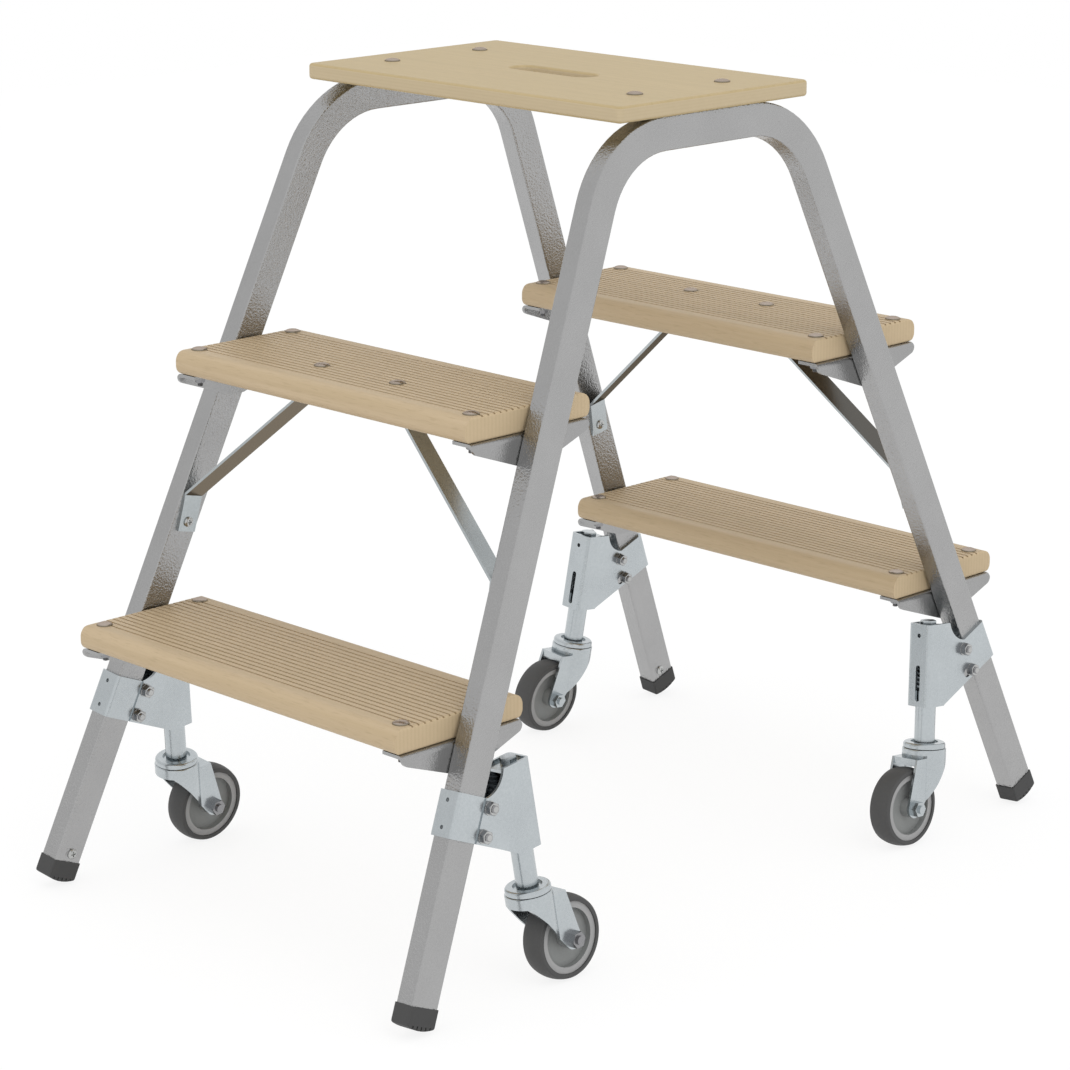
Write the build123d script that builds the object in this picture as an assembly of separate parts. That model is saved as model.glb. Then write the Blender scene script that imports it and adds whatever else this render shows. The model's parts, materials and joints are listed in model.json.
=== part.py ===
from build123d import *
import math
import os

# A double-sided step platform: two splayed tube frames, four grooved treads, a board on top,
# and a spring castor on each leg.
# Axes: X along the treads, Y from the front treads to the back ones, Z up from the floor.
# Sizes are in millimetres and degrees.

# Heights: the board's top above the floor, and the middle treads above the lower ones
PLATFORM_TOP = 732.0
STEP_RISE = 240.0

# Board on top
PLATFORM_LENGTH = 395.0
PLATFORM_DEPTH = 240.0
PLATFORM_THICKNESS = 14.5
PLATFORM_CORNER = 5.0
PLATFORM_EDGE = 3.0
HAND_SLOT_LENGTH = 100.0
HAND_SLOT_WIDTH = 26.0
BOARD_OVERHANG = 8.0

# Treads
TREAD_DEPTH = 146.0
TREAD_THICKNESS = 22.0
TREAD_SET_OUT = 10.0
TREAD_END_GAP = 4.0
TREAD_TOP_ROUND = 10.0
TREAD_BOTTOM_ROUND = 8.0
TREAD_END_ROUND = 2.5
GROOVE_COUNT = 16
GROOVE_PITCH = 7.0
GROOVE_WIDTH = 2.0
GROOVE_DEPTH = 1.2

# Side frames: one rectangular tube bent into an arch, leaning inwards
TUBE_DEPTH = 30.0
TUBE_WIDTH = 20.0
TUBE_WALL = 2.0
TUBE_CORNER = 1.8
FRAME_SPLAY = 5.0
LEG_TILT = 22.72
ARCH_HALF_WIDTH = 124.1
BEND_RADIUS = 102.0
TUBE_END = 33.5

# Foot caps
CAP_HEIGHT = 16.5
CAP_BULGE = 3.0
CAP_PROUD = 0.9
CAP_SOLE_ROUND = 2.5
CAP_CORNER = 1.8
PLUG_LENGTH = 15.0
PLUG_GAP = 0.2
GRIP_COUNT = 5
GRIP_PITCH = 5.0
GRIP_WIDTH = 1.4
GRIP_DEPTH = 4.0

# Angle brackets under the treads and the board
ANGLE_SHEET = 3.0
ANGLE_FLANGE = 24.0
ANGLE_BEND = 5.0
TREAD_ANGLE_LENGTH = 137.0
TREAD_ANGLE_DROP = 29.5
TREAD_ANGLE_NOSE = 8.0
TREAD_ANGLE_FLAT = 16.0
TREAD_ANGLE_ROUND = 7.0
BOARD_ANGLE_LENGTH = 130.0
BOARD_ANGLE_DROP = 11.0

# Braces under the middle treads
BRACE_WIDTH = 20.0
BRACE_SHEET = 2.5
BRACE_BOLT_X = 48.8
BRACE_BOLT_SET_OUT = 21.0
BRACE_LUG_REACH = 10.0
BRACE_DROP = 116.0
BRACE_FOOT_LENGTH = 35.0
BRACE_FOOT_TURN = 12.6

# Castor: the stem stands in a folded housing that is clamped round the leg
STEM_TILT = 6.5
AXLE_SET_IN = 196.2
TRAIL = 29.5
STEM_GAP = 0.25
STEM_REACH = 14.5
SEAM_WIDTH = 1.4
SEAM_DEPTH = 0.8
SEAM_TURN = 26.0
ROD_RADIUS = 4.0
HOUSING_SHEET = 2.5
HOUSING_BOTTOM = 93.5
HOUSING_HEIGHT = 79.0
END_PLATE_GAP = 0.95
TOP_PLATE_REACH = 17.5
TOP_PLATE_SINK = 2.5
FOLD_ROUND = 3.5
CUT_ARC_SAG = 5.0
BAND_DROP = 18.15
BAND_HEIGHT = 39.0
CASTOR_CLEARANCE = 3.585
FLAP_REACH = 26.5
FLAP_GAP = 2.4
FLAP_STEP = 1.2
CLAMP_BOLT_OFFSET = 5.0
CLAMP_BOLT_INSET = 7.5
CLAMP_SLOT_WIDTH = 8.5
CLAMP_SLOT_LENGTH = 6.0
BAND_HOLE = 3.6
BAND_HOLE_INSET = 8.0
END_HOLE = 4.0
END_HOLE_DROP = 11.0
END_SLOT_WIDTH = 5.0
END_SLOT_LOW = 5.0
END_SLOT_HIGH = 39.5
GUIDE_SHEET = 3.0
GUIDE_REACH = 12.5
FIT_GAP = 0.1
ROD_HEAD_FLATS = 13.0
ROD_HEAD_HEIGHT = 5.3
SPRING_GAP = 1.0
SPRING_WIRE = 2.25

# Swivel head and fork, measured up the stem from the level of the axle
FORK_SHEET = 2.5
FORK_CLEARANCE = 8.5
TYRE_CLEARANCE = 1.8
FORK_TAIL = 28.3
FORK_NOSE_REACH = 15.0
FORK_NOSE_DROP = 2.5
FORK_NOSE_ROUND = 6.0
FORK_KNEE_REACH = 2.0
FORK_KNEE_DROP = 18.5
FORK_KNEE_ROUND = 20.0
FORK_LUG = 9.2
APRON_DROP = 4.0
CROWN_RADIUS = 20.8
CROWN_HEIGHT = 7.5
CROWN_ROUND = 1.5
NECK_RADIUS = 17.5
NECK_HEIGHT = 2.3
HEAD_RADIUS = 20.0
HEAD_ROUND = 2.5
HEAD_GAP = 0.5
HEAD_HEIGHT = 5.0
RECESS_RADIUS = 13.0
RECESS_DEPTH = 2.0
PINTLE_RADIUS = 5.0
RIVET_RADIUS = 8.5
RIVET_HEIGHT = 3.0
RIVET_GAP = 0.3
RUNNING_GAP = 0.05

# Wheel
WHEEL_RADIUS = 37.5
TYRE_WIDTH = 22.0
TYRE_CROWN = 30.0
TYRE_SHOULDER = 1.5
TYRE_THICKNESS = 5.9
RIM_WIDTH = 19.0
RIM_WALL = 5.6
DISC_WIDTH = 8.0
HUB_RADIUS = 9.0
HUB_GAP = 0.5
AXLE_RADIUS = 4.0
AXLE_FLATS = 13.0
AXLE_NUT = 6.8
AXLE_END = 2.2
TYRE_SEAT_GAP = 0.05

SPLAY = math.radians(FRAME_SPLAY)
TILT = math.radians(LEG_TILT)
LEAN = math.radians(STEM_TILT)

# The frames stand under the board's ends and reach the floor along their lean.
PLATFORM_BOTTOM = PLATFORM_TOP - PLATFORM_THICKNESS
FRAME_TOP = PLATFORM_BOTTOM / math.cos(SPLAY)
FRAME_FOOT_X = PLATFORM_LENGTH / 2 - BOARD_OVERHANG + PLATFORM_BOTTOM * math.tan(SPLAY)
LEG_FOOT_Y = ARCH_HALF_WIDTH + FRAME_TOP * math.tan(TILT)

# Plane of a frame's outer face: local x is Y, local y goes up the leaning face, local z points out.
FRAME_PLANE = Plane((FRAME_FOOT_X, 0, 0), (0, 1, 0), (math.cos(SPLAY), 0, math.sin(SPLAY)))


def turned_plane(y, t, depth, turn):
    """Plane beside the frame's face at (y, t), sunk by depth, its local x turned up by an angle."""
    x_dir = FRAME_PLANE.x_dir * math.cos(turn) + FRAME_PLANE.y_dir * math.sin(turn)
    return Plane(FRAME_PLANE.from_local_coords((y, t, -depth)), x_dir, FRAME_PLANE.z_dir)


# Leg plane: origin on the leg's outer edge at the floor, local x outboard, local y up the leg.
LEG_PLANE = turned_plane(LEG_FOOT_Y, 0, 0, TILT)

# The crowned tyre leans with the frame, and its lowest point touches the floor.
AXLE_Z = (WHEEL_RADIUS - TYRE_CROWN) * math.cos(SPLAY) + TYRE_CROWN
AXLE_T = (AXLE_Z + TUBE_WIDTH / 2 * math.sin(SPLAY)) / math.cos(SPLAY)

# Castor plane: origin on the stem's axis level with the axle, local x outboard, local y up the stem.
AXLE_Y = LEG_FOOT_Y - AXLE_SET_IN
CASTOR_Y = AXLE_Y + TRAIL * math.cos(LEAN)
CASTOR_T = AXLE_T - TRAIL * math.sin(LEAN)
CASTOR_PLANE = turned_plane(CASTOR_Y, CASTOR_T, TUBE_WIDTH / 2, -LEAN)
STEM_AXIS = Axis(CASTOR_PLANE.origin, CASTOR_PLANE.y_dir)
STEM_PLANE = Plane(CASTOR_PLANE.origin, CASTOR_PLANE.x_dir, CASTOR_PLANE.y_dir)
AXLE_CENTRE = CASTOR_PLANE.from_local_coords((-TRAIL, 0, 0))
AXLE_AXIS = Axis(AXLE_CENTRE, CASTOR_PLANE.z_dir)
AXLE_PLANE = Plane(AXLE_CENTRE, CASTOR_PLANE.x_dir, CASTOR_PLANE.z_dir)
WHEEL_PLANE = Plane(AXLE_CENTRE, CASTOR_PLANE.x_dir, CASTOR_PLANE.y_dir * -1)

# The wheel's layers, the fork round the wheel, and what stands between the housing's side plates
RIM_RADIUS = WHEEL_RADIUS - TYRE_THICKNESS
DISC_RADIUS = RIM_RADIUS - RIM_WALL
FORK_TOP = WHEEL_RADIUS + FORK_CLEARANCE
FORK_GAP = TYRE_WIDTH + 2 * TYRE_CLEARANCE
HUB_WIDTH = FORK_GAP - 2 * HUB_GAP
STEM_RADIUS = TUBE_WIDTH / 2 - STEM_GAP
STEM_TOP = HOUSING_BOTTOM + STEM_REACH
SPRING_RADIUS = TUBE_WIDTH / 2 - SPRING_GAP
END_PLATE_FACE = STEM_RADIUS + END_PLATE_GAP + HOUSING_SHEET
HOUSING_TOP = HOUSING_BOTTOM + HOUSING_HEIGHT
TOP_PLATE_LEVEL = HOUSING_TOP - TOP_PLATE_SINK

# The band's upper corner on the leg's inner edge lies below the housing's top, along the stem.
LEG_EDGE_LEVEL = CASTOR_PLANE.to_local_coords(LEG_PLANE.from_local_coords((-TUBE_DEPTH, 0, 0))).Y
BAND_TOP = (HOUSING_TOP - BAND_DROP - LEG_EDGE_LEVEL) / math.cos(TILT + LEAN)
BAND_BOTTOM = BAND_TOP - BAND_HEIGHT

# Corner name, sign of X, sign of Y
CORNERS = (
    ("front_right", 1, -1),
    ("back_right", 1, 1),
    ("front_left", -1, -1),
    ("back_left", -1, 1),
)


def leg_centre_y(z):
    """Distance of a leg's centre line from the middle, at a height above the floor."""
    t = z / math.cos(SPLAY)
    return LEG_FOOT_Y - t * math.tan(TILT) - TUBE_DEPTH / 2 / math.cos(TILT)


def frame_inner_x(z):
    """Distance of a frame's inner face from the middle, at a height above the floor."""
    return FRAME_FOOT_X - z * math.tan(SPLAY) - TUBE_WIDTH / math.cos(SPLAY)


def tread_centre_y(top):
    return leg_centre_y(top - TREAD_THICKNESS / 2) + TREAD_SET_OUT


def lower_tread_top():
    """Height at which the sloping edge of the tread's bracket clears the castor housing below it."""
    corner = CASTOR_PLANE.from_local_coords((TOP_PLATE_REACH, HOUSING_TOP, -TUBE_WIDTH / 2))
    half = TREAD_ANGLE_LENGTH / 2
    slope = (TREAD_ANGLE_DROP - TREAD_ANGLE_NOSE) / (half - TREAD_ANGLE_FLAT / 2)
    nose_y = tread_centre_y(0) - half
    shift = tread_centre_y(0) - tread_centre_y(1)
    stack = TREAD_THICKNESS + TREAD_ANGLE_NOSE + CASTOR_CLEARANCE
    return (corner.Z + stack + slope * (corner.Y - nose_y)) / (1 - slope * shift)


# Height of the treads' tops
LOWER_TOP = lower_tread_top()
MIDDLE_TOP = LOWER_TOP + STEP_RISE
LEVELS = (("lower", LOWER_TOP), ("middle", MIDDLE_TOP))


def to_corner(shape, x_sign, y_sign):
    """Mirror a shape made for the back right corner into another corner."""
    if x_sign < 0:
        shape = mirror(shape, about=Plane.YZ)
    if y_sign < 0:
        shape = mirror(shape, about=Plane.XZ)
    return shape


def slab(plane, outline, low, high):
    """Solid between two offsets from a plane, with its outline drawn on that plane."""
    return extrude(plane.offset(low) * outline, high - low, dir=plane.z_dir)


def polygon(points):
    return make_face(Polyline(*points, close=True))


def rectangle(x_low, y_low, x_high, y_high):
    return polygon([(x_low, y_low), (x_high, y_low), (x_high, y_high), (x_low, y_high)])


def rounded(face, corners):
    """Round the corners of a flat outline: each entry is x, y, radius."""
    for x, y, radius in corners:
        vertex = min(face.vertices(), key=lambda v: (v.center() - Vector(x, y)).length)
        face = fillet(vertex, radius)
    return face


def hexagon(across_flats):
    return RegularPolygon(across_flats / 2, 6, major_radius=False)


# Side frames


def arch(inset):
    """Outline of the bent tube's outer edge, moved in by an inset and open past the floor."""
    low = -TUBE_DEPTH
    top = FRAME_TOP - inset
    shift = inset / math.cos(TILT)

    def edge(t):
        return LEG_FOOT_Y - shift - t * math.tan(TILT)

    points = [(-edge(low), low), (edge(low), low), (edge(top), top), (-edge(top), top)]
    radius = BEND_RADIUS - inset
    return rounded(polygon(points), [(edge(top), top, radius), (-edge(top), top, radius)])


def side_frame():
    bar = slab(FRAME_PLANE, arch(0) - arch(TUBE_DEPTH), -TUBE_WIDTH, 0)
    big_faces = bar.faces().filter_by(lambda f: abs(f.normal_at().dot(FRAME_PLANE.z_dir)) > 0.99)
    long_edges = [e for f in big_faces for e in f.edges() if e.center().Z > 0]
    bar = fillet(long_edges, TUBE_CORNER)
    hollow = arch(TUBE_WALL) - arch(TUBE_DEPTH - TUBE_WALL)
    bar -= slab(FRAME_PLANE, hollow, TUBE_WALL - TUBE_WIDTH, -TUBE_WALL)
    reach = 4 * TUBE_DEPTH
    below = slab(LEG_PLANE, rectangle(-reach, -reach, reach, TUBE_END), -reach, reach)
    return bar - below - mirror(below, about=Plane.XZ)


def foot_cap():
    """Cap with a bulging sole that is slotted for grip, and a plug that fills the tube's end."""
    bottom = TUBE_END - CAP_HEIGHT
    inner = -TUBE_DEPTH - CAP_PROUD
    lowest = bottom - CAP_BULGE
    arc = ThreePointArc((inner, bottom), (-TUBE_DEPTH / 2, lowest), (CAP_PROUD, bottom))
    sides = Polyline((CAP_PROUD, bottom), (CAP_PROUD, TUBE_END), (inner, TUBE_END), (inner, bottom))
    outline = make_face(arc.edges() + sides.edges())
    outline = rounded(outline, [(inner, bottom, CAP_SOLE_ROUND), (CAP_PROUD, bottom, CAP_SOLE_ROUND)])
    cap = slab(LEG_PLANE, outline, -TUBE_WIDTH - CAP_PROUD, CAP_PROUD)
    upright = [e for e in cap.edges() if abs(e.tangent_at(0.5).dot(LEG_PLANE.y_dir)) > 0.999]
    cap = fillet(upright, CAP_CORNER)
    first = -TUBE_DEPTH / 2 - GRIP_PITCH * (GRIP_COUNT - 1) / 2
    for number in range(GRIP_COUNT):
        q = first + number * GRIP_PITCH
        grip = rectangle(q - GRIP_WIDTH / 2, 0, q + GRIP_WIDTH / 2, lowest + GRIP_DEPTH)
        cap -= slab(LEG_PLANE, grip, -TUBE_WIDTH - 2 * CAP_PROUD, 2 * CAP_PROUD)
    skin = TUBE_WALL + PLUG_GAP
    plug = rectangle(skin - TUBE_DEPTH, TUBE_END, -skin, TUBE_END + PLUG_LENGTH)
    return cap + slab(LEG_PLANE, plug, skin - TUBE_WIDTH, -skin)


# Board and treads


def platform_board():
    board = extrude(
        Pos(0, 0, PLATFORM_BOTTOM) * RectangleRounded(PLATFORM_LENGTH, PLATFORM_DEPTH, PLATFORM_CORNER),
        PLATFORM_THICKNESS,
    )
    slot = extrude(
        Pos(0, 0, PLATFORM_BOTTOM) * SlotOverall(HAND_SLOT_LENGTH, HAND_SLOT_WIDTH),
        PLATFORM_THICKNESS,
    )
    board -= slot
    rims = board.faces().filter_by(Axis.Z)
    return fillet(rims.edges(), PLATFORM_EDGE)


def tread(top):
    """Grooved tread of the back side, its end faces just short of the frames."""
    bottom = top - TREAD_THICKNESS
    middle = tread_centre_y(top)
    low = middle - TREAD_DEPTH / 2
    high = middle + TREAD_DEPTH / 2
    profile = rounded(
        rectangle(low, bottom, high, top),
        [
            (low, top, TREAD_TOP_ROUND),
            (high, top, TREAD_TOP_ROUND),
            (low, bottom, TREAD_BOTTOM_ROUND),
            (high, bottom, TREAD_BOTTOM_ROUND),
        ],
    )
    first = middle - GROOVE_PITCH * (GROOVE_COUNT - 1) / 2
    for number in range(GROOVE_COUNT):
        y = first + number * GROOVE_PITCH
        profile -= rectangle(y - GROOVE_WIDTH / 2, top - GROOVE_DEPTH, y + GROOVE_WIDTH / 2, top + 1)
    end = frame_inner_x(bottom) - TREAD_END_GAP
    corners = [(x, z, TREAD_END_ROUND) for x in (-end, end) for z in (bottom, top)]
    front_view = rounded(rectangle(-end, bottom, end, top), corners)
    return slab(Plane.YZ, profile, -end, end) & slab(Plane.XZ, front_view, -high, -low)


# Angle brackets and braces


def angle_bar(top, drop, y_low, y_high):
    """Angle with its flange under a board and its web on the frame's inner face."""
    corner_x = frame_inner_x(top)
    inside = ANGLE_SHEET / math.cos(SPLAY)
    bend_z = top - ANGLE_SHEET
    points = [
        (corner_x - ANGLE_FLANGE, top),
        (corner_x, top),
        (frame_inner_x(top - drop), top - drop),
        (frame_inner_x(top - drop) - inside, top - drop),
        (frame_inner_x(bend_z) - inside, bend_z),
        (corner_x - ANGLE_FLANGE, bend_z),
    ]
    bends = [
        (corner_x, top, ANGLE_BEND),
        (frame_inner_x(bend_z) - inside, bend_z, ANGLE_BEND - ANGLE_SHEET),
    ]
    section = Plane.XZ * rounded(polygon(points), bends)
    return extrude(Pos(0, y_low, 0) * section, y_high - y_low, dir=(0, 1, 0))


def tread_bracket(top):
    seat = top - TREAD_THICKNESS
    middle = tread_centre_y(top)
    half = TREAD_ANGLE_LENGTH / 2
    bar = angle_bar(seat, TREAD_ANGLE_DROP, middle - half, middle + half)
    nose = seat - TREAD_ANGLE_NOSE
    keel = seat - TREAD_ANGLE_DROP
    flat = TREAD_ANGLE_FLAT / 2
    boat = polygon(
        [
            (middle - half, seat),
            (middle + half, seat),
            (middle + half, nose),
            (middle + flat, keel),
            (middle - flat, keel),
            (middle - half, nose),
        ]
    )
    boat = rounded(boat, [(middle + half, nose, TREAD_ANGLE_ROUND), (middle - half, nose, TREAD_ANGLE_ROUND)])
    return bar & slab(Plane.YZ, boat, 0, FRAME_FOOT_X)


def board_bracket():
    half = BOARD_ANGLE_LENGTH / 2
    return angle_bar(PLATFORM_BOTTOM, BOARD_ANGLE_DROP, -half, half)


def brace():
    """Flat bar bent at both ends, from under a middle tread to the leg's inner face."""
    seat = MIDDLE_TOP - TREAD_THICKNESS
    lug_y = tread_centre_y(MIDDLE_TOP) + BRACE_BOLT_SET_OUT
    bend_x = BRACE_BOLT_X + BRACE_LUG_REACH
    half = BRACE_WIDTH / 2
    lug = Pos(BRACE_BOLT_X, lug_y, seat - BRACE_SHEET) * Circle(half)
    lug += Pos(0, 0, seat - BRACE_SHEET) * rectangle(BRACE_BOLT_X, lug_y - half, bend_x + half, lug_y + half)
    lug = extrude(lug, BRACE_SHEET)

    # The foot lies on the leg, its middle on the leg's centre line and its fold square to its length.
    turn = math.radians(BRACE_FOOT_TURN)
    foot_z = seat - BRACE_DROP
    foot_t = foot_z / math.cos(SPLAY)
    drop = BRACE_FOOT_LENGTH * math.cos(turn)
    shift = BRACE_FOOT_LENGTH * math.sin(turn)
    foot_y = leg_centre_y(foot_z - drop / 2) - shift / 2
    plate = Pos(foot_y, foot_t) * Rot(0, 0, BRACE_FOOT_TURN) * rectangle(-half, -BRACE_FOOT_LENGTH, half, 0)
    foot = slab(FRAME_PLANE, plate, -TUBE_WIDTH - BRACE_SHEET, -TUBE_WIDTH)

    # The run's upper face joins the two folds. It is made too long and trimmed under the tread and at the leg.
    high_fold = Vector(bend_x, lug_y, seat)
    low_fold = FRAME_PLANE.from_local_coords(Vector(foot_y, foot_t, -TUBE_WIDTH))
    along_fold = FRAME_PLANE.x_dir * math.cos(turn) + FRAME_PLANE.y_dir * math.sin(turn)
    run = low_fold - high_fold
    run_plane = Plane(high_fold, along_fold, run)
    bar = slab(run_plane, rectangle(-half, -BRACE_SHEET, half, 0), -BRACE_WIDTH, run.length + BRACE_WIDTH)
    lug -= slab(run_plane, rectangle(-BRACE_WIDTH, 0, BRACE_WIDTH, BRACE_WIDTH), -BRACE_WIDTH, BRACE_WIDTH)
    in_tread = extrude(Pos(0, 0, seat) * rectangle(0, 0, FRAME_FOOT_X, LEG_FOOT_Y), BRACE_WIDTH)
    past_leg = slab(FRAME_PLANE, rectangle(0, 0, LEG_FOOT_Y, FRAME_TOP), -TUBE_WIDTH, TUBE_WIDTH)
    return lug + (bar - in_tread - past_leg) + foot


# Castor housings


def castor_to_frame(x, u):
    """Point of the castor plane in the frame plane's coordinates."""
    return (
        CASTOR_Y + x * math.cos(LEAN) + u * math.sin(LEAN),
        CASTOR_T - x * math.sin(LEAN) + u * math.cos(LEAN),
    )


def leg_to_frame(q, s):
    """Point of the leg plane in the frame plane's coordinates."""
    return (
        LEG_FOOT_Y + q * math.cos(TILT) - s * math.sin(TILT),
        q * math.sin(TILT) + s * math.cos(TILT),
    )


def housing_outline():
    inner_low = castor_to_frame(-END_PLATE_FACE, HOUSING_BOTTOM)
    inner_high = castor_to_frame(-END_PLATE_FACE, HOUSING_TOP)
    arc_start = castor_to_frame(TOP_PLATE_REACH, HOUSING_TOP)
    arc_end = leg_to_frame(-TUBE_DEPTH, BAND_TOP)
    outer_high = leg_to_frame(0, BAND_TOP)
    outer_low = leg_to_frame(0, BAND_BOTTOM)

    # The band's lower edge runs on, square to the leg, until it meets the housing's bottom edge.
    u_at_leg = (outer_low[0] - CASTOR_Y) * math.sin(LEAN) + (outer_low[1] - CASTOR_T) * math.cos(LEAN)
    knee = leg_to_frame((HOUSING_BOTTOM - u_at_leg) / math.sin(TILT + LEAN), BAND_BOTTOM)

    chord = Vector(*arc_end) - Vector(*arc_start)
    inward = Vector(chord.Y, -chord.X).normalized()
    arc_middle = (Vector(*arc_start) + Vector(*arc_end)) / 2 + inward * CUT_ARC_SAG
    arc = ThreePointArc(arc_start, arc_middle, arc_end)
    rest = Polyline(arc_end, outer_high, outer_low, knee, inner_low, inner_high, arc_start)
    return make_face(arc.edges() + rest.edges())


def fold_waste(edge_x, way):
    """What rounding takes off the two corners of a fold at edge_x, whose sheets go on in direction way."""
    skin = TUBE_WIDTH / 2 + HOUSING_SHEET
    far_x = edge_x + way * 2 * FOLD_ROUND
    block = rectangle(min(edge_x, far_x), -skin, max(edge_x, far_x), skin)
    return block - rounded(block, [(edge_x, -skin, FOLD_ROUND), (edge_x, skin, FOLD_ROUND)])


def castor_housing(wrap_side):
    """Folded housing; on wrap_side a shallow step shows where the sheet round the leg meets the side plate."""
    half = TUBE_WIDTH / 2
    skin = half + HOUSING_SHEET
    top = HOUSING_TOP
    inner = -END_PLATE_FACE
    outline = housing_outline()
    body = slab(FRAME_PLANE, outline, 0, HOUSING_SHEET)
    body += slab(FRAME_PLANE, outline, -TUBE_WIDTH - HOUSING_SHEET, -TUBE_WIDTH)
    body += slab(CASTOR_PLANE, rectangle(inner, HOUSING_BOTTOM, inner + HOUSING_SHEET, top), -skin, skin)
    lid = rectangle(inner, TOP_PLATE_LEVEL - HOUSING_SHEET, TOP_PLATE_REACH, TOP_PLATE_LEVEL)
    body += slab(CASTOR_PLANE, lid, -skin, skin)
    guide = rectangle(inner, HOUSING_BOTTOM, GUIDE_REACH, HOUSING_BOTTOM + GUIDE_SHEET)
    body += slab(CASTOR_PLANE, guide, -skin, skin)
    body -= slab(STEM_PLANE, Circle(STEM_RADIUS + FIT_GAP), 0, HOUSING_BOTTOM + GUIDE_SHEET)
    body -= slab(STEM_PLANE, Circle(ROD_RADIUS + FIT_GAP), HOUSING_BOTTOM, top)

    # Band over the leg's outer edge, and the step where its end meets the side plate
    band = rectangle(0, BAND_BOTTOM, HOUSING_SHEET, BAND_TOP)
    body += slab(LEG_PLANE, band, -TUBE_WIDTH - HOUSING_SHEET, HOUSING_SHEET)
    gap = rectangle(-FLAP_REACH - FLAP_GAP, BAND_BOTTOM - HOUSING_SHEET, -FLAP_REACH, BAND_TOP + HOUSING_SHEET)
    if wrap_side > 0:
        body -= slab(LEG_PLANE, gap, -TUBE_WIDTH - HOUSING_SHEET, -TUBE_WIDTH - HOUSING_SHEET + FLAP_STEP)
    else:
        body -= slab(LEG_PLANE, gap, HOUSING_SHEET - FLAP_STEP, HOUSING_SHEET)

    # Rounded folds at the end plate and the band
    body -= slab(STEM_PLANE, fold_waste(inner, 1), HOUSING_BOTTOM, top)
    leg_middle = LEG_PLANE.from_local_coords((0, 0, -half))
    across_leg = Plane(leg_middle, LEG_PLANE.x_dir, LEG_PLANE.y_dir)
    body -= slab(across_leg, fold_waste(HOUSING_SHEET, -1), BAND_BOTTOM, BAND_TOP)

    # Holes: a slot beside the lower clamp bolt, two in the band, one and a slot in the end plate
    bolt_q = -TUBE_DEPTH - CLAMP_BOLT_OFFSET
    bolt_s = BAND_BOTTOM + CLAMP_BOLT_INSET
    slot = Pos(bolt_q - CLAMP_SLOT_LENGTH / 2, bolt_s) * SlotCenterToCenter(CLAMP_SLOT_LENGTH, CLAMP_SLOT_WIDTH)
    body -= slab(LEG_PLANE, slot, -2 * TUBE_WIDTH, TUBE_WIDTH)
    for s in (BAND_BOTTOM + BAND_HOLE_INSET, BAND_TOP - BAND_HOLE_INSET):
        centre = LEG_PLANE.from_local_coords((0, s, -half))
        face = Plane(centre, LEG_PLANE.y_dir, LEG_PLANE.x_dir)
        body -= slab(face, Circle(BAND_HOLE / 2), 0, 2 * HOUSING_SHEET)
    end_face = Plane(CASTOR_PLANE.from_local_coords((inner, 0, 0)), CASTOR_PLANE.z_dir * -1, CASTOR_PLANE.x_dir)
    slot_length = END_SLOT_HIGH - END_SLOT_LOW
    slot_u = HOUSING_BOTTOM + (END_SLOT_HIGH + END_SLOT_LOW) / 2
    holes = Pos(0, top - END_HOLE_DROP) * Circle(END_HOLE / 2)
    holes += Pos(0, slot_u) * Rot(0, 0, 90) * SlotOverall(slot_length, END_SLOT_WIDTH)
    return body - slab(end_face, holes, 0, HOUSING_SHEET)


# Castors


def castor_stem():
    """Round stem with its swivel head, pintle and the rod that guides the spring."""
    head_low = FORK_TOP + CROWN_HEIGHT + HEAD_GAP
    head_high = head_low + HEAD_HEIGHT
    rivet_high = FORK_TOP - FORK_SHEET - RIVET_GAP
    top = TOP_PLATE_LEVEL
    profile = rectangle(0, rivet_high - RIVET_HEIGHT, RIVET_RADIUS, rivet_high)
    profile += rectangle(0, rivet_high, PINTLE_RADIUS, head_low)
    head = rounded(rectangle(0, head_low, HEAD_RADIUS, head_high), [(HEAD_RADIUS, head_high, HEAD_ROUND)])
    profile += head - rectangle(STEM_RADIUS, head_high - RECESS_DEPTH, RECESS_RADIUS, head_high)
    profile += rectangle(0, head_low, STEM_RADIUS, STEM_TOP)
    profile += rectangle(0, STEM_TOP, ROD_RADIUS, top)
    stem = revolve(CASTOR_PLANE * profile, STEM_AXIS)
    stem += slab(STEM_PLANE, hexagon(ROD_HEAD_FLATS), top, top + ROD_HEAD_HEIGHT)
    seam = rectangle(STEM_RADIUS - SEAM_DEPTH, -SEAM_WIDTH / 2, STEM_RADIUS + 1, SEAM_WIDTH / 2)
    seam = Rot(0, 0, -SEAM_TURN) * seam
    return stem - slab(STEM_PLANE, seam, head_high - RECESS_DEPTH, STEM_TOP)


def castor_spring():
    """Closed coil spring round the rod, as a sleeve of the coil's outer and inner size."""
    sleeve = Circle(SPRING_RADIUS) - Circle(SPRING_RADIUS - SPRING_WIRE)
    return slab(STEM_PLANE, sleeve, STEM_TOP, TOP_PLATE_LEVEL - HOUSING_SHEET)


def touch_point(point, centre, radius, side):
    """Where the line from a point touches a circle, on the left (1) or right (-1) of the way there."""
    way = Vector(*centre) - Vector(*point)
    turn = math.asin(radius / way.length) * side
    reach = math.sqrt(way.length ** 2 - radius ** 2)
    angle = math.atan2(way.Y, way.X) + turn
    return (point[0] + reach * math.cos(angle), point[1] + reach * math.sin(angle))


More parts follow.
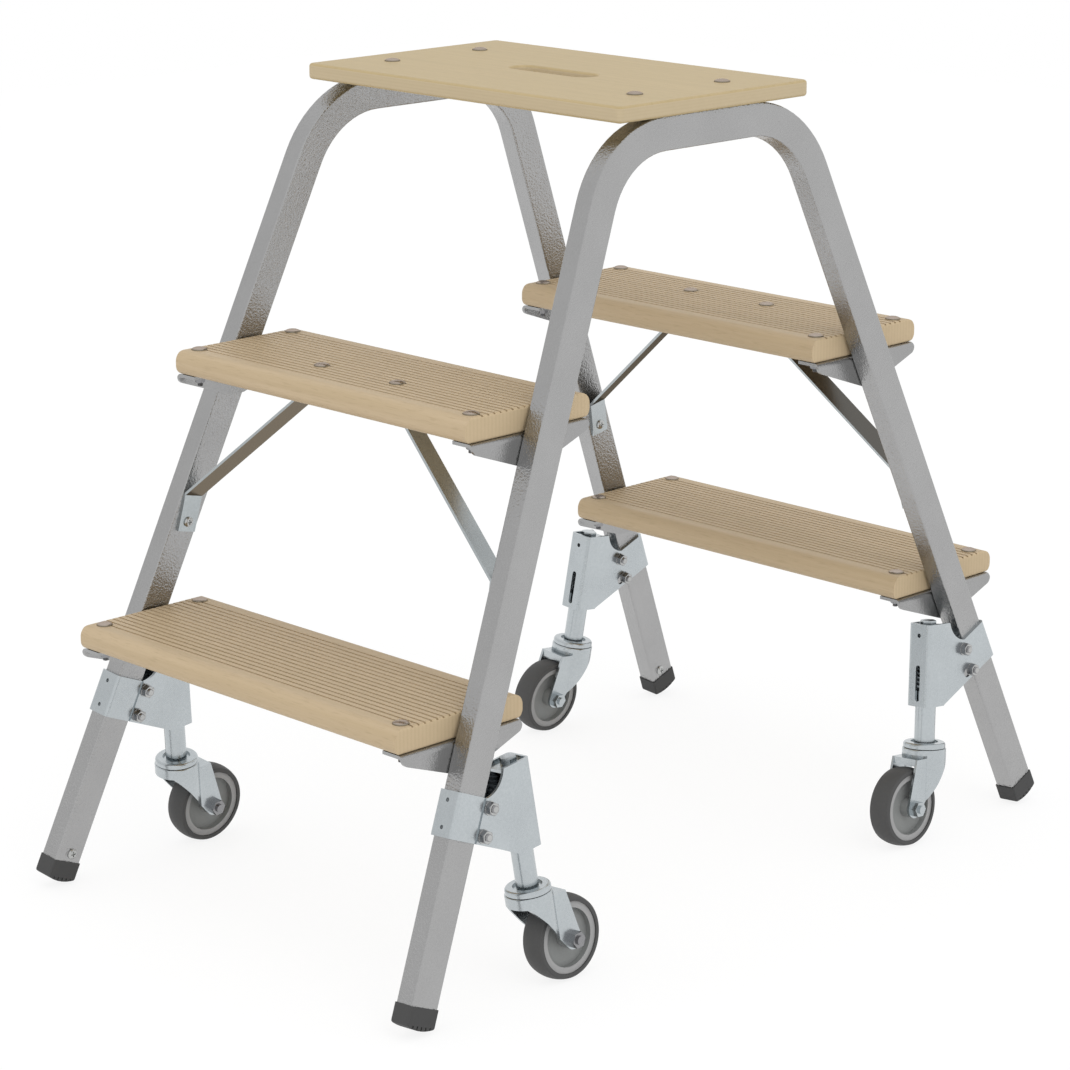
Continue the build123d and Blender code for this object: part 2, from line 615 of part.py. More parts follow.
def fork_outline():
    """Side view of the fork: high in front, sweeping down to the lugs round the axle."""
    lug = (-TRAIL, 0)
    tail = (-FORK_TAIL, FORK_TOP)
    nose = (FORK_NOSE_REACH, FORK_TOP - FORK_NOSE_DROP)
    knee = (FORK_KNEE_REACH, FORK_TOP - FORK_KNEE_DROP)
    front_touch = touch_point(knee, lug, FORK_LUG, 1)
    back_touch = touch_point(tail, lug, FORK_LUG, -1)
    outline = polygon([tail, (CROWN_RADIUS, FORK_TOP), nose, knee, front_touch, lug, back_touch])
    outline = rounded(outline, [(*nose, FORK_NOSE_ROUND), (*knee, FORK_KNEE_ROUND)])
    return outline + Pos(*lug) * Circle(FORK_LUG)


def castor_fork():
    """Pressed fork: a round skirt under the crown runs into two flat legs behind the stem."""
    inner = FORK_GAP / 2
    outer = inner + FORK_SHEET
    skirt_inside = CROWN_RADIUS - FORK_SHEET
    crown_top = FORK_TOP + CROWN_HEIGHT
    outline = fork_outline()
    low = -FORK_LUG
    far = -TRAIL - FORK_LUG

    # Where the outer and inner faces of the skirt and the legs meet
    crease = -math.sqrt(CROWN_RADIUS ** 2 - outer ** 2)
    inner_crease = -math.sqrt(skirt_inside ** 2 - inner ** 2)
    skirt = slab(STEM_PLANE, Circle(CROWN_RADIUS) - Circle(skirt_inside), low, FORK_TOP)
    skirt &= slab(CASTOR_PLANE, outline & rectangle(crease, low, CROWN_RADIUS, FORK_TOP), -CROWN_RADIUS, CROWN_RADIUS)
    skirt -= slab(CASTOR_PLANE, rectangle(crease, low, inner_crease, FORK_TOP), -inner, inner)
    leg = outline & rectangle(far, low, inner_crease, FORK_TOP)
    fork = skirt + slab(CASTOR_PLANE, leg, inner, outer) + slab(CASTOR_PLANE, leg, -outer, -inner)
    deck = rectangle(-FORK_TAIL, FORK_TOP - FORK_SHEET, inner_crease, FORK_TOP)
    fork += slab(CASTOR_PLANE, deck, -outer, outer)
    apron = rectangle(-FORK_TAIL, FORK_TOP - FORK_SHEET - APRON_DROP, FORK_SHEET - FORK_TAIL, FORK_TOP)
    fork += slab(CASTOR_PLANE, apron, -outer, outer)
    crown = rectangle(0, FORK_TOP - FORK_SHEET, CROWN_RADIUS, crown_top)
    crown = rounded(crown, [(CROWN_RADIUS, crown_top, CROWN_ROUND)])
    fork += revolve(CASTOR_PLANE * crown, STEM_AXIS)

    # Behind the skirt the crown's neck is set in above the deck.
    neck = slab(STEM_PLANE, Circle(2 * CROWN_RADIUS) - Circle(NECK_RADIUS), FORK_TOP, FORK_TOP + NECK_HEIGHT)
    behind = rectangle(far, FORK_TOP, crease, crown_top)
    fork -= neck & slab(CASTOR_PLANE, behind, -CROWN_RADIUS, CROWN_RADIUS)
    fork -= slab(STEM_PLANE, Circle(PINTLE_RADIUS + RUNNING_GAP), 0, crown_top + HEAD_GAP)
    return fork - slab(AXLE_PLANE, Circle(AXLE_RADIUS + RUNNING_GAP), -2 * outer, 2 * outer)


def castor_axle():
    """Axle stud through the fork, with a nut at each end."""
    outer = FORK_GAP / 2 + FORK_SHEET
    end = outer + AXLE_NUT + AXLE_END
    axle = slab(AXLE_PLANE, Circle(AXLE_RADIUS), -end, end)
    axle += slab(AXLE_PLANE, hexagon(AXLE_FLATS), -outer - AXLE_NUT, -outer)
    return axle + slab(AXLE_PLANE, hexagon(AXLE_FLATS), outer, outer + AXLE_NUT)


def wheel_rim():
    bore = AXLE_RADIUS + RUNNING_GAP
    profile = rectangle(bore, -HUB_WIDTH / 2, HUB_RADIUS, HUB_WIDTH / 2)
    profile += rectangle(bore, -DISC_WIDTH / 2, RIM_RADIUS, DISC_WIDTH / 2)
    profile += rectangle(DISC_RADIUS, -RIM_WIDTH / 2, RIM_RADIUS, RIM_WIDTH / 2)
    return revolve(WHEEL_PLANE * profile, AXLE_AXIS)


def wheel_tyre():
    half = TYRE_WIDTH / 2
    seat = RIM_RADIUS + TYRE_SEAT_GAP
    edge = WHEEL_RADIUS - TYRE_CROWN + math.sqrt(TYRE_CROWN ** 2 - half ** 2)
    crown = ThreePointArc((edge, -half), (WHEEL_RADIUS, 0), (edge, half))
    sides = Polyline((edge, half), (seat, half), (seat, -half), (edge, -half))
    profile = make_face(crown.edges() + sides.edges())
    profile = rounded(profile, [(edge, half, TYRE_SHOULDER), (edge, -half, TYRE_SHOULDER)])
    return revolve(WHEEL_PLANE * profile, AXLE_AXIS)


def all_parts():
    """Every node of the assembly by name."""
    nodes = {"platform_board": platform_board()}
    frame = side_frame()
    bracket = board_bracket()
    for side, x_sign in (("right", 1), ("left", -1)):
        nodes["side_frame_" + side] = to_corner(frame, x_sign, 1)
        nodes["board_bracket_" + side] = to_corner(bracket, x_sign, 1)
    for level, top in LEVELS:
        step = tread(top)
        angle = tread_bracket(top)
        for end, y_sign in (("front", -1), ("back", 1)):
            nodes["tread_" + level + "_" + end] = to_corner(step, 1, y_sign)
        for corner, x_sign, y_sign in CORNERS:
            nodes["tread_bracket_" + level + "_" + corner] = to_corner(angle, x_sign, y_sign)
    corner_pieces = (
        ("foot_cap", foot_cap()),
        ("brace", brace()),
        ("castor_stem", castor_stem()),
        ("castor_spring", castor_spring()),
        ("castor_fork", castor_fork()),
        ("castor_axle", castor_axle()),
        ("wheel_rim", wheel_rim()),
        ("wheel_tyre", wheel_tyre()),
    )
    housings = {1: castor_housing(1), -1: castor_housing(-1)}
    for corner, x_sign, y_sign in CORNERS:
        for name, shape in corner_pieces:
            nodes[name + "_" + corner] = to_corner(shape, x_sign, y_sign)
        # Opposite corners share a hand.
        nodes["castor_housing_" + corner] = to_corner(housings[x_sign * y_sign], x_sign, y_sign)
    return nodes


os.makedirs("parts", exist_ok=True)
for node_name, node_shape in all_parts().items():
    export_step(node_shape, os.path.join("parts", node_name + ".step"))
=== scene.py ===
# %% [markdown]
# # A step platform on castors
# The solid model already holds the tube frames, the wooden steps, the brackets and the castors, each in
# its place. This lesson dresses it: every finish is built from nodes, and the small things a solid model
# leaves out are modelled here, which are bolts, nuts, screws and the coil springs inside the castors.
# The imported model is loaded first. Only the low heads of the board's bolts stand above its box.

# %% Load the imported model
import json
import math

import bmesh
import bpy
from mathutils import Matrix, Vector


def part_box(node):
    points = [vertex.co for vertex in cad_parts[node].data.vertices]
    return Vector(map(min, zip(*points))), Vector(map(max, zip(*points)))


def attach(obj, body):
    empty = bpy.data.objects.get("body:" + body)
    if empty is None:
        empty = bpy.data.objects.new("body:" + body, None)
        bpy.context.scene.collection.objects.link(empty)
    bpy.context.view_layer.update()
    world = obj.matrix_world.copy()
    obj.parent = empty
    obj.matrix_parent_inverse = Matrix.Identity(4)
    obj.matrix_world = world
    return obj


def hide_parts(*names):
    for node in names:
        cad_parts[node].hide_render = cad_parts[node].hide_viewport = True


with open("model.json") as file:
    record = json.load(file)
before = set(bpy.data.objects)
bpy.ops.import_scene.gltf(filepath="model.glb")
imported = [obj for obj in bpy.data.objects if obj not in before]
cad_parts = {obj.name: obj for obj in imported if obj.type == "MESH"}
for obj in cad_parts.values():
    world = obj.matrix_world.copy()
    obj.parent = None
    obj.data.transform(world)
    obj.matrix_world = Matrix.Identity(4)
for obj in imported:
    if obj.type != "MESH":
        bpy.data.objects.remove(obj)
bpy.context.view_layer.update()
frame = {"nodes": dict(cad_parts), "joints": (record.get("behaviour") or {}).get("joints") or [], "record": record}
nodes = frame["nodes"]
MM = 0.001

# %% [markdown]
# ## Colours and nodes
# Colours are written as sRGB hex values, while the shaders work with linear light, so one function turns
# one into the other. Node trees can be clicked together by hand or written out. Written out, one helper does
# most of it: it adds a node, sets its options, and fills or links its inputs. Four short ones stand for what
# comes up most: a mix of two colours, a calculation, a change of range, and how far a face is turned to an
# axis.

# %% Colour and node helpers
def linear(hex_code):
    channels = [int(hex_code[start:start + 2], 16) / 255 for start in (1, 3, 5)]
    return [c / 12.92 if c <= 0.04045 else ((c + 0.055) / 1.055) ** 2.4 for c in channels] + [1.0]


def add_node(tree, kind, settings=None, inputs=None):
    node = tree.nodes.new(kind)
    for name, value in (settings or {}).items():
        setattr(node, name, value)
    for name, value in (inputs or {}).items():
        if isinstance(value, bpy.types.NodeSocket):
            tree.links.new(value, node.inputs[name])
        else:
            node.inputs[name].default_value = value
    return node


def mix_colours(tree, share, first, second):
    return add_node(tree, "ShaderNodeMix", {"data_type": "RGBA"}, {0: share, 6: first, 7: second}).outputs[2]


def calculate(tree, operation, *values):
    return add_node(tree, "ShaderNodeMath", {"operation": operation}, dict(enumerate(values))).outputs[0]


def rescale(tree, value, from_min, from_max, to_min=0.0, to_max=1.0):
    node = add_node(tree, "ShaderNodeMapRange", inputs={
        "Value": value, "From Min": from_min, "From Max": from_max, "To Min": to_min, "To Max": to_max})
    return node.outputs[0]


def turned_to_axis(tree, axis):
    normal = add_node(tree, "ShaderNodeNewGeometry").outputs["Normal"]
    return add_node(tree, "ShaderNodeSeparateXYZ", inputs={0: normal}).outputs[axis]


def new_material(name):
    material = bpy.data.materials.new(name)
    material.use_nodes = True
    tree = material.node_tree
    tree.nodes.clear()
    return material, tree


print("mid grey in linear light:", round(linear("#808080")[0], 3))

# %% [markdown]
# ## Lacquered wood
# The board is plywood and the treads are solid hardwood, both under a clear satin lacquer. Seen from above
# that gives a pale honey colour with long, faint streaks that run along the step. At the edges of the board
# the plies show as thin darker lines one above the other, and at the sawn ends of the treads the growth
# rings show as upright lines. Cut wood is a little paler than the faces. The streaks could be a Wave
# texture, but real grain wanders, so a Noise texture is stretched far along X instead. The lines follow one
# coordinate only, and are kept to the faces that cut across the layers. The floors of the grooves in the
# treads are given a darker colour, which is painted shade.

# %% Wood
GRAIN_LENGTH = 160 * MM
GRAIN_WIDTH = 3.5 * MM
FLECK_LENGTH = 14 * MM
# Real flecks are half a millimetre wide; 1.3 mm is the least that shows in the picture.
FLECK_WIDTH = 1.3 * MM
PLY = 1.45 * MM
RING = 2.1 * MM
CUT_SHARE = 0.7


def lacquered_wood(name, light, dark, line, layers, cut_faces):
    layer_axis, layer, line_share = layers
    face_axis, face_test, face_limit, cut_colour = cut_faces
    material, tree = new_material(name)
    place = add_node(tree, "ShaderNodeTexCoord").outputs["Object"]
    long_way = add_node(tree, "ShaderNodeMapping", inputs={
        "Vector": place, "Scale": (1 / GRAIN_LENGTH, 1 / GRAIN_WIDTH, 1 / GRAIN_WIDTH)})
    streaks = add_node(tree, "ShaderNodeTexNoise", inputs={
        "Vector": long_way.outputs[0], "Scale": 0.55, "Detail": 4.0, "Roughness": 0.62, "Distortion": 0.4})
    fleck_place = add_node(tree, "ShaderNodeMapping", inputs={
        "Vector": place, "Scale": (1 / FLECK_LENGTH, 1 / FLECK_WIDTH, 1 / FLECK_WIDTH)})
    flecks = add_node(tree, "ShaderNodeTexNoise", inputs={
        "Vector": fleck_place.outputs[0], "Scale": 1.0, "Detail": 1.0})
    grain = rescale(tree, streaks.outputs["Fac"], 0.3, 0.7)
    tint = mix_colours(tree, grain, linear(dark), linear(light))
    fleck_share = rescale(tree, flecks.outputs["Fac"], 0.56, 0.75, 0.0, 0.3)
    flecked = mix_colours(tree, fleck_share, tint, linear(line))
    turned = calculate(tree, "ABSOLUTE", turned_to_axis(tree, face_axis))
    cut_across = calculate(tree, face_test, turned, face_limit)
    cut_share = calculate(tree, "MULTIPLY", cut_across, CUT_SHARE)
    cut_tint = mix_colours(tree, cut_share, flecked, linear(cut_colour))
    depth = add_node(tree, "ShaderNodeSeparateXYZ", inputs={0: place}).outputs[layer_axis]
    wave = calculate(tree, "SINE", calculate(tree, "MULTIPLY", depth, math.pi / layer))
    lines = rescale(tree, wave, -0.4, 0.9, 0.0, line_share)
    colour = mix_colours(tree, calculate(tree, "MULTIPLY", cut_across, lines), cut_tint, linear(line))
    gloss = rescale(tree, streaks.outputs["Fac"], 0.0, 1.0, 0.42, 0.56)
    relief = add_node(tree, "ShaderNodeBump", inputs={
        "Strength": 0.12, "Distance": 0.2 * MM, "Height": flecks.outputs["Fac"]})
    shader = add_node(tree, "ShaderNodeBsdfPrincipled", inputs={
        "Base Color": colour, "Roughness": gloss, "Normal": relief.outputs[0],
        "IOR": 1.5, "Specular IOR Level": 0.25})
    add_node(tree, "ShaderNodeOutputMaterial", inputs={"Surface": shader.outputs[0]})
    return material, tree, colour, shader


board_wood = lacquered_wood(
    "lacquered_plywood_board", "#C2AE86", "#B8A47A", "#A08C6C",
    ("Z", PLY, 0.07), ("Z", "LESS_THAN", 0.35, "#C5B598"))[0]
print("finish:", board_wood.name)

# %% Grooved hardwood
GROOVE_DEPTH = 1.2 * MM
STEP_RISE = 240 * MM
LEVEL_FACE = 0.995


def grooved_hardwood():
    material, tree, colour, shader = lacquered_wood(
        "lacquered_hardwood_tread", "#C7B293", "#BCA786", "#A08C6C",
        ("Y", RING, 0.12), ("X", "GREATER_THAN", 0.5, "#CBB694"))
    place = add_node(tree, "ShaderNodeTexCoord").outputs["Object"]
    height = add_node(tree, "ShaderNodeSeparateXYZ", inputs={0: place}).outputs["Z"]
    # The two levels of treads lie a whole step rise apart, so one remainder serves for both.
    above = calculate(tree, "MODULO", height, STEP_RISE)
    tread_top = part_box("tread_lower_front")[1].z - STEP_RISE
    # Painted shade: the upward faces just below the top of a tread, the floors of its grooves, are mixed towards a
    # darker brown.
    sunk = rescale(tree, above, tread_top - 0.3 * GROOVE_DEPTH, tread_top - 0.95 * GROOVE_DEPTH)
    near_top = calculate(tree, "GREATER_THAN", above, tread_top - 1.3 * GROOVE_DEPTH)
    flat = calculate(tree, "GREATER_THAN", turned_to_axis(tree, "Z"), LEVEL_FACE)
    share = calculate(tree, "MULTIPLY", calculate(tree, "MULTIPLY", sunk, near_top), flat)
    shaded = mix_colours(tree, share, colour, linear("#957F61"))
    tree.links.new(shaded, shader.inputs["Base Color"])
    return material


tread_wood = grooved_hardwood()
print("finish:", tread_wood.name)

# %% [markdown]
# ## Mill-finish aluminium
# The frames are extruded tube and the brackets are angles folded from sheet, neither of them polished or
# anodised. Mill finish is a soft grey metal: it mirrors the room only as broad light and dark, with a fine
# speckle from the die. A metallic shader with a low roughness gives that, and a small noise moves the
# roughness and the surface a little so that no face is a perfect gradient.

# %% Aluminium
# The speckle of the die is finer than 0.1 mm; 2 mm is the least that shows in the picture.
SPECKLE = 2.0 * MM
SPECKLE_DEPTH = 1.0 * MM
CLOUD = 45 * MM


def metal(name, light, dark, smooth, rough, speckle, relief_strength):
    material, tree = new_material(name)
    place = add_node(tree, "ShaderNodeTexCoord").outputs["Object"]
    specks = add_node(tree, "ShaderNodeTexNoise", inputs={
        "Vector": place, "Scale": 1 / speckle, "Detail": 2.0, "Roughness": 0.6})
    clouds = add_node(tree, "ShaderNodeTexNoise", inputs={
        "Vector": place, "Scale": 1 / CLOUD, "Detail": 2.0})
    both = add_node(tree, "ShaderNodeMix", {"data_type": "FLOAT"}, {
        0: 0.5, 2: specks.outputs["Fac"], 3: clouds.outputs["Fac"]}).outputs[0]
    colour = mix_colours(tree, rescale(tree, both, 0.35, 0.65), linear(dark), linear(light))
    gloss = rescale(tree, both, 0.3, 0.7, rough, smooth)
    relief = add_node(tree, "ShaderNodeBump", inputs={
        "Strength": relief_strength, "Distance": SPECKLE_DEPTH, "Height": specks.outputs["Fac"]})
    shader = add_node(tree, "ShaderNodeBsdfPrincipled", inputs={
        "Base Color": colour, "Metallic": 1.0, "Roughness": gloss, "Normal": relief.outputs[0]})
    add_node(tree, "ShaderNodeOutputMaterial", inputs={"Surface": shader.outputs[0]})
    return material, tree, colour, shader


frame_aluminium = metal("mill_finish_aluminium_tube", "#AAAAAA", "#A5A5A5", 0.18, 0.26, SPECKLE, 0.7)[0]
bracket_aluminium = metal("mill_finish_aluminium_angle", "#A6A6A6", "#9F9F9F", 0.22, 0.3, SPECKLE, 0.2)[0]
print("finishes:", frame_aluminium.name, bracket_aluminium.name)

# %% [markdown]
# ## Zinc plate, bolt steel and spring wire
# The folded castor parts and the braces are steel with bright zinc plating, which has a cold, slightly blue
# cast and a much softer speckle than aluminium. Bolts and nuts are plated too, with end faces turned smooth
# and bright, while shade is painted onto the flanks and threads with a darker copy of the same steel. The
# coil springs are oiled wire. All of them are the same kind of surface, so the function for aluminium is used
# again with other values.

# %% Steels
PLATE_GRAIN = 2.2 * MM
TURNED_GRAIN = 1.2 * MM

zinc_steel = metal("bright_zinc_plated_sheet", "#BEC4C7", "#B5BBBE", 0.2, 0.3, PLATE_GRAIN, 0.012)[0]
bolt_steel = metal("zinc_plated_bolt_steel", "#BEBFBE", "#B0B1B0", 0.16, 0.26, TURNED_GRAIN, 0.01)[0]
# Painted shade: a darker copy of the bolt steel, for the flanks and threads of nuts and for the front axles.
painted_shade_steel = metal("zinc_plated_steel_painted_shade", "#98989A", "#88888A", 0.22, 0.32, TURNED_GRAIN, 0.012)[0]
spring_steel = metal("oiled_spring_wire", "#8E9194", "#7D8083", 0.3, 0.4, TURNED_GRAIN, 0.01)[0]
print("finishes:", zinc_steel.name, bolt_steel.name, painted_shade_steel.name, spring_steel.name)

# %% [markdown]
# ## Darker sides of bolt heads and braces
# Two of the plated pieces are not the same all round, as shade is painted into their colour. The steep rim
# of a bolt head is painted darker, and the braces have dark brownish broad faces between bright cut edges:
# the front pair only underneath, the back pair, darker still, on both sides. This follows the way a face is
# turned, so the height part of the surface normal mixes the painted shade in. A metal also turns to a white
# mirror when it is seen at a slant, so the tint of that mirror is darkened too, which keeps the painted shade.

# %% Steel with painted shade
def metal_with_painted_shade(name, light, dark, rough, shade_colour, sides, shade_from, shade_to, slant):
    material, tree, colour, shader = metal(name, light, dark, rough - 0.08, rough, SPECKLE, 0.02)
    upward = turned_to_axis(tree, "Z")
    if sides == "both":
        turned = calculate(tree, "ABSOLUTE", upward)
    else:
        turned = calculate(tree, "MULTIPLY", upward, -1.0)
    # Painted shade: faces are mixed towards the shade colour by how far they turn up or down.
    mixed = mix_colours(tree, rescale(tree, turned, shade_from, shade_to), colour, linear(shade_colour))
    tree.links.new(mixed, shader.inputs["Base Color"])
    # The mirror seen at a slant is tinted darker as well, so the painted shade holds there.
    shader.inputs["Specular Tint"].default_value = linear(slant)
    return material


# Painted shade round the steep rim of each bolt head.
head_steel = metal_with_painted_shade(
    "zinc_plated_bolt_head", "#BBAFA6", "#AFA399", 0.3, "#857C6C", "both", 0.92, 0.62, "#D8D0C8")
# Painted shade on the braces: underneath for the front pair, on both broad faces for the back pair.
front_brace_steel = metal_with_painted_shade(
    "zinc_plated_strip_front", "#BBC1C3", "#B0B6B8", 0.24, "#8A8379", "under", 0.25, 0.5, "#A69E93")
back_brace_steel = metal_with_painted_shade(
    "zinc_plated_strip_back", "#BBC1C3", "#B0B6B8", 0.24, "#64625E", "both", 0.25, 0.5, "#978F84")
print("finishes:", head_steel.name, front_brace_steel.name, back_brace_steel.name)

# %% [markdown]
# ## Rubber and moulded plastic
# The foot caps and the tyres are moulded rubber: nearly black, matt, with the fine grain of the mould. The
# rim is moulded nylon with a lighter ring outside a slightly darker disc. Both come from one mould, so
# instead of two pieces the ring is told from the disc by the distance from the axle, which is the length of
# a cross product with the axle's direction.

# %% Rubber
# The mould's grain is about 0.2 mm; 0.9 mm is the least that shows in the picture.
MOULD_GRAIN = 0.9 * MM
MOULD_DEPTH = 0.15 * MM


def moulded(name, light, dark, roughness, relief_strength):
    material, tree = new_material(name)
    place = add_node(tree, "ShaderNodeTexCoord").outputs["Object"]
    grains = add_node(tree, "ShaderNodeTexNoise", inputs={
        "Vector": place, "Scale": 1 / MOULD_GRAIN, "Detail": 2.0})
    colour = mix_colours(tree, grains.outputs["Fac"], linear(dark), linear(light))
    gloss = rescale(tree, grains.outputs["Fac"], 0.0, 1.0, roughness - 0.08, roughness + 0.08)
    relief = add_node(tree, "ShaderNodeBump", inputs={
        "Strength": relief_strength, "Distance": MOULD_DEPTH, "Height": grains.outputs["Fac"]})
    shader = add_node(tree, "ShaderNodeBsdfPrincipled", inputs={
        "Base Color": colour, "Roughness": gloss, "Normal": relief.outputs[0], "Specular IOR Level": 0.3})
    add_node(tree, "ShaderNodeOutputMaterial", inputs={"Surface": shader.outputs[0]})
    return material, tree, colour, shader


foot_rubber = moulded("moulded_rubber_foot", "#4B4B4B", "#434343", 0.62, 0.2)[0]
tyre_rubber = moulded("moulded_rubber_tyre", "#555555", "#4A4A4A", 0.6, 0.2)[0]
print("finishes:", foot_rubber.name, tyre_rubber.name)

# %% Rim plastic
DISC_RADIUS = 26 * MM
axle_joint = next(joint for joint in frame["joints"] if joint["name"] == "wheel_spin_back_right")
axle_place = Vector(axle_joint["pos_m"])
axle_dir = Vector(axle_joint["axis"])


def rim_plastic_finish():
    material, tree, colour, shader = moulded("moulded_nylon_rim", "#969897", "#8B8D8C", 0.45, 0.1)
    place = add_node(tree, "ShaderNodeTexCoord").outputs["Object"]
    # The four wheels mirror each other, so the signs of x and y are dropped and one axle serves for all.
    folded = add_node(tree, "ShaderNodeVectorMath", {"operation": "ABSOLUTE"}, {0: place})
    arm = add_node(tree, "ShaderNodeVectorMath", {"operation": "SUBTRACT"}, {
        0: folded.outputs[0], 1: tuple(axle_place)})
    moment = add_node(tree, "ShaderNodeVectorMath", {"operation": "CROSS_PRODUCT"}, {
        0: arm.outputs[0], 1: tuple(axle_dir)})
    radius = add_node(tree, "ShaderNodeVectorMath", {"operation": "LENGTH"}, {0: moment.outputs[0]})
    ring = calculate(tree, "GREATER_THAN", radius.outputs["Value"], DISC_RADIUS)
    two_tone = mix_colours(tree, ring, colour, linear("#A6A6A6"))
    tree.links.new(two_tone, shader.inputs["Base Color"])
    return material


rim_plastic = rim_plastic_finish()
print("finish:", rim_plastic.name)

# %% [markdown]
# ## Finishes on the solid model
# The imported record says which finish each solid takes, so the materials are handed out from that list. Two
# kinds of piece are told apart further, as the picture shows them: front and back braces each have their own
# steel with painted shade, and the front axles, in the shade of the forks, take the darker steel of painted
# shade. The meshes themselves are left alone.

# %% Give each solid its finish
finishes = {
    "board_wood": board_wood,
    "tread_wood": tread_wood,
    "frame_aluminium": frame_aluminium,
    "bracket_aluminium": bracket_aluminium,
    "zinc_steel": zinc_steel,
    "spring_steel": spring_steel,
    "foot_rubber": foot_rubber,
    "tyre_rubber": tyre_rubber,
    "rim_plastic": rim_plastic,
}
for part in frame["record"]["subparts"]:
    finish = finishes[part["material_slot"]]
    # Painted shade: the braces take their steels with darkened broad faces.
    if part["node"].startswith("brace_"):
        finish = front_brace_steel if "front" in part["node"] else back_brace_steel
    # Painted shade: the front axles lie in the shade of the forks and take the darker steel.
    if part["node"].startswith("castor_axle_front"):
        finish = painted_shade_steel
    for material_slot in nodes[part["node"]].material_slots:
        material_slot.material = finish

# %% [markdown]
# ## Helpers for modelling
# Operators work on whatever is selected, and after loading that is the whole model, so each piece begins
# by clearing the selection. In edit mode the faces to work on are picked by a test on their place or
# direction, as a mouse would pick them. A finished model is copied to its places by moving the mesh and
# not the object, so every object stays at the origin.

# %% Modelling helpers
FACING_UP = 0.9


def clear_selection():
    bpy.ops.object.select_all(action="DESELECT")


def edit_faces(test):
    bpy.ops.object.mode_set(mode="EDIT")
    bpy.ops.mesh.select_mode(type="FACE")
    mesh = bmesh.from_edit_mesh(bpy.context.object.data)
    for face in mesh.faces:
        face.select_set(False)
    for face in mesh.faces:
        if test(face):
            face.select_set(True)
    bmesh.update_edit_mesh(bpy.context.object.data)


def faces_up(face):
    return face.normal.z > FACING_UP


def apply_place():
    bpy.ops.object.mode_set(mode="OBJECT")
    bpy.ops.object.transform_apply(location=True, rotation=True, scale=True)


def stand(point, direction):
    return Matrix.Translation(point) @ direction.to_track_quat("Z", "Y").to_matrix().to_4x4()


def place_copy(model, name, matrix):
    piece = model.copy()
    piece.data = model.data.copy()
    piece.name = name
    piece.data.transform(matrix)
    bpy.context.scene.collection.objects.link(piece)
    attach(piece, "step_frame")
    return piece


print("pieces ride on step_frame")

# %% [markdown]
# ## Domed bolt heads
# The treads and the board are held by coach bolts, whose low round heads lie on the wood. A squashed
# sphere would do from afar, but its edge would be sharp. Here a short cylinder is the rim of the head, and
# its top face is inset and lifted five times, which gives the low dome of a pressed head. The steps are given
# in millimetres, inwards and up.

# %% Domed bolt head
HEAD_RADIUS = 7.2 * MM
HEAD_RIM = 0.6 * MM
HEAD_STEPS = ((0.4, 0.4), (0.9, 0.55), (1.6, 0.6), (2.0, 0.35), (1.3, 0.1))
ROUND_ANGLE = math.radians(50)


def stepped_head(name, sides, radius, rim, steps):
    clear_selection()
    bpy.ops.mesh.primitive_cylinder_add(vertices=sides, radius=radius, depth=rim, location=(0, 0, rim / 2))
    apply_place()
    head = bpy.context.object
    head.name = name
    edit_faces(faces_up)
    for inset, lift in steps:
        bpy.ops.mesh.inset(thickness=inset * MM)
        bpy.ops.transform.translate(value=(0, 0, lift * MM))
    bpy.ops.object.mode_set(mode="OBJECT")
    return head


domed_head = stepped_head("domed_head_model", 48, HEAD_RADIUS, HEAD_RIM, HEAD_STEPS)
bpy.ops.object.shade_smooth_by_angle(angle=ROUND_ANGLE)
domed_head.data.materials.append(head_steel)
print("domed head:", len(domed_head.data.polygons), "faces")

# %% [markdown]
# ## Nuts on their studs
# Under every bracket the coach bolt ends in a washer, a hexagon nut and a few turns of thread. The nut is a
# six-sided cylinder whose corners are turned off, which is what a cone cuts when the two are intersected.
# The thread could be a true helix, but at this size rings look the same, so the end of the stud is extruded
# in short steps that shrink and grow in turn.

# %% Nut on a stud
WASHER = 1.0 * MM
TURNED_FACE = 0.97
CORNER_SLOPE = math.radians(60)
THREAD_WAIST = 0.88
STUD_TIP = 0.8
EDGE_ANGLE = math.radians(35)


def washer(radius):
    clear_selection()
    bpy.ops.mesh.primitive_cylinder_add(
        vertices=40, radius=radius, depth=WASHER, location=(0, 0, WASHER / 2))
    apply_place()
    edit_faces(faces_up)
    bpy.ops.mesh.bevel(offset=0.3 * WASHER, segments=2, affect="EDGES")
    bpy.ops.object.mode_set(mode="OBJECT")
    return bpy.context.object


def hexagon(across, height):
    clear_selection()
    middle = (0, 0, WASHER + height / 2)
    turned = across / 2 * TURNED_FACE
    spread = height * math.tan(CORNER_SLOPE)
    bpy.ops.mesh.primitive_cone_add(
        vertices=64, radius1=turned + spread, radius2=turned, depth=height, location=middle)
    apply_place()
    cone = bpy.context.object
    clear_selection()
    bpy.ops.mesh.primitive_cylinder_add(
        vertices=6, radius=across / math.sqrt(3), depth=height, location=middle)
    apply_place()
    nut = bpy.context.object
    cut = nut.modifiers.new("turned_corners", "BOOLEAN")
    cut.operation = "INTERSECT"
    cut.object = cone
    bpy.ops.object.modifier_apply(modifier=cut.name)
    bpy.data.objects.remove(cone)
    return nut


